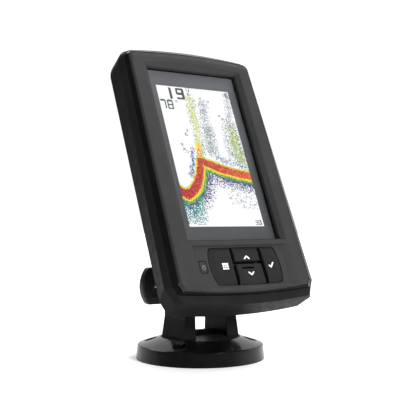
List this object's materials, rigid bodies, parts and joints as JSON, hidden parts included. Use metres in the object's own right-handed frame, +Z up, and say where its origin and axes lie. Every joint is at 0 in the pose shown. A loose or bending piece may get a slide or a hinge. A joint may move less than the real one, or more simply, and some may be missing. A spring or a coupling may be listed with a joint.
{
  "type": "fish finder",
  "caption": "Portrait sonar display for a small boat: screen and rubber keys in a sealed case that tilts on a fork clamped by wing knobs and swivels on a round screw-down base.",
  "frame": {"origin": "centre of the base's underside, where the four deck screws clamp it", "axes": "+Z up along the swivel axis; the screen faces -Y at the swivel's middle position; +X to the user's right"},
  "size_m": [0.1046, 0.0925, 0.1908],
  "materials": {
    "housing": "satin moulded, dark grey",
    "bezel": "fine matte texture, dark grey",
    "gloss_trim": "polished black",
    "base_gloss": "polished black",
    "fork_plastic": "satin moulded, black",
    "knob_plastic": "fine matte texture, dark grey",
    "black_plastic": "satin black",
    "white_plastic": "satin white",
    "key_rubber": "matte silicone, charcoal",
    "seal_rubber": "matte",
    "lens": "clear acrylic",
    "screen_glass": "lit picture",
    "sheet_steel": "bright stamped",
    "screw_steel": "bright stainless",
    "flex_film": "amber film",
    "circuit_board": "green solder mask",
    "brass": "turned",
    "ferrite": "dull ferrite",
    "copper": "enamelled wire",
    "can_sleeve": "plain can"
  },
  "bodies": {
    "base": {"mounting_base": "base_gloss"},
    "fork": {"pivot_fork": "fork_plastic", "fork_insert": "brass", "swivel_washer": "sheet_steel", "swivel_screw": "screw_steel"},
    "knob_left": {"tilt_knob_left": "knob_plastic", "tilt_stud_left": "screw_steel", "knob_washer_left": "white_plastic"},
    "knob_right": {"tilt_knob_right": "knob_plastic", "tilt_stud_right": "screw_steel", "knob_washer_right": "white_plastic"},
    "menu_button": {"menu_key": "key_rubber"},
    "up_button": {"up_key": "key_rubber"},
    "down_button": {"down_key": "key_rubber"},
    "check_button": {"check_key": "key_rubber"},
    "power_button": {"power_key": "key_rubber"},
    "head": {"rear_housing": "housing", "front_bezel": "bezel", "trim_frame": "gloss_trim", "perimeter_gasket": "seal_rubber", "lens_window": "lens", "lens_gasket": "seal_rubber", "lcd_panel": "screen_glass", "lcd_backlight": "white_plastic", "lcd_frame": "sheet_steel", "lcd_flex": "flex_film", "keypad_seal": "seal_rubber", "key_board": "circuit_board", "key_domes": "sheet_steel", "main_board": "circuit_board", "board_posts": "brass", "processor_shield": "sheet_steel", "transformer_core": "ferrite", "transformer_coil": "copper", "storage_capacitors": "can_sleeve", "power_inductor": "ferrite", "board_connectors": "white_plastic", "beeper": "black_plastic", "housing_screws": "screw_steel", "power_socket": "black_plastic", "power_socket_seal": "seal_rubber", "power_socket_nut": "black_plastic", "power_socket_pins": "brass", "transducer_socket": "black_plastic", "transducer_socket_seal": "seal_rubber", "transducer_socket_nut": "black_plastic", "transducer_socket_pins": "brass", "pivot_bracket": "housing", "bracket_screws": "screw_steel", "pivot_inserts": "brass", "friction_discs": "seal_rubber"}
  },
  "joints": [
    {"name": "swivel", "type": "hinge", "parent": "base", "child": "fork", "pos_m": [0, 0, 0.0065], "axis": [0, 0, 1], "range_deg": [-180, 180]},
    {"name": "tilt", "type": "hinge", "parent": "fork", "child": "head", "pos_m": [0, 0, 0.0455], "axis": [-1, 0, 0], "range_deg": [-24, 45]},
    {"name": "knob_left_turn", "type": "hinge", "parent": "head", "child": "knob_left", "pos_m": [-0.03, 0, 0.0455], "axis": [-1, 0, 0], "range_deg": [0, 360]},
    {"name": "knob_right_turn", "type": "hinge", "parent": "head", "child": "knob_right", "pos_m": [0.03, 0, 0.0455], "axis": [1, 0, 0], "range_deg": [0, 360]},
    {"name": "menu_press", "type": "slide", "parent": "head", "child": "menu_button", "axis": [0, 0.9121, -0.4099], "range_m": [0, 0.0007], "stiffness_N_per_m": 1500, "springref_m": -0.0001},
    {"name": "up_press", "type": "slide", "parent": "head", "child": "up_button", "axis": [0, 0.9121, -0.4099], "range_m": [0, 0.0007], "stiffness_N_per_m": 1500, "springref_m": -0.0001},
    {"name": "down_press", "type": "slide", "parent": "head", "child": "down_button", "axis": [0, 0.9121, -0.4099], "range_m": [0, 0.0007], "stiffness_N_per_m": 1500, "springref_m": -0.0001},
    {"name": "check_press", "type": "slide", "parent": "head", "child": "check_button", "axis": [0, 0.9121, -0.4099], "range_m": [0, 0.0007], "stiffness_N_per_m": 1500, "springref_m": -0.0001},
    {"name": "power_press", "type": "slide", "parent": "head", "child": "power_button", "axis": [0, 0.9121, -0.4099], "range_m": [0, 0.0007], "stiffness_N_per_m": 1500, "springref_m": -0.0001}
  ]
}
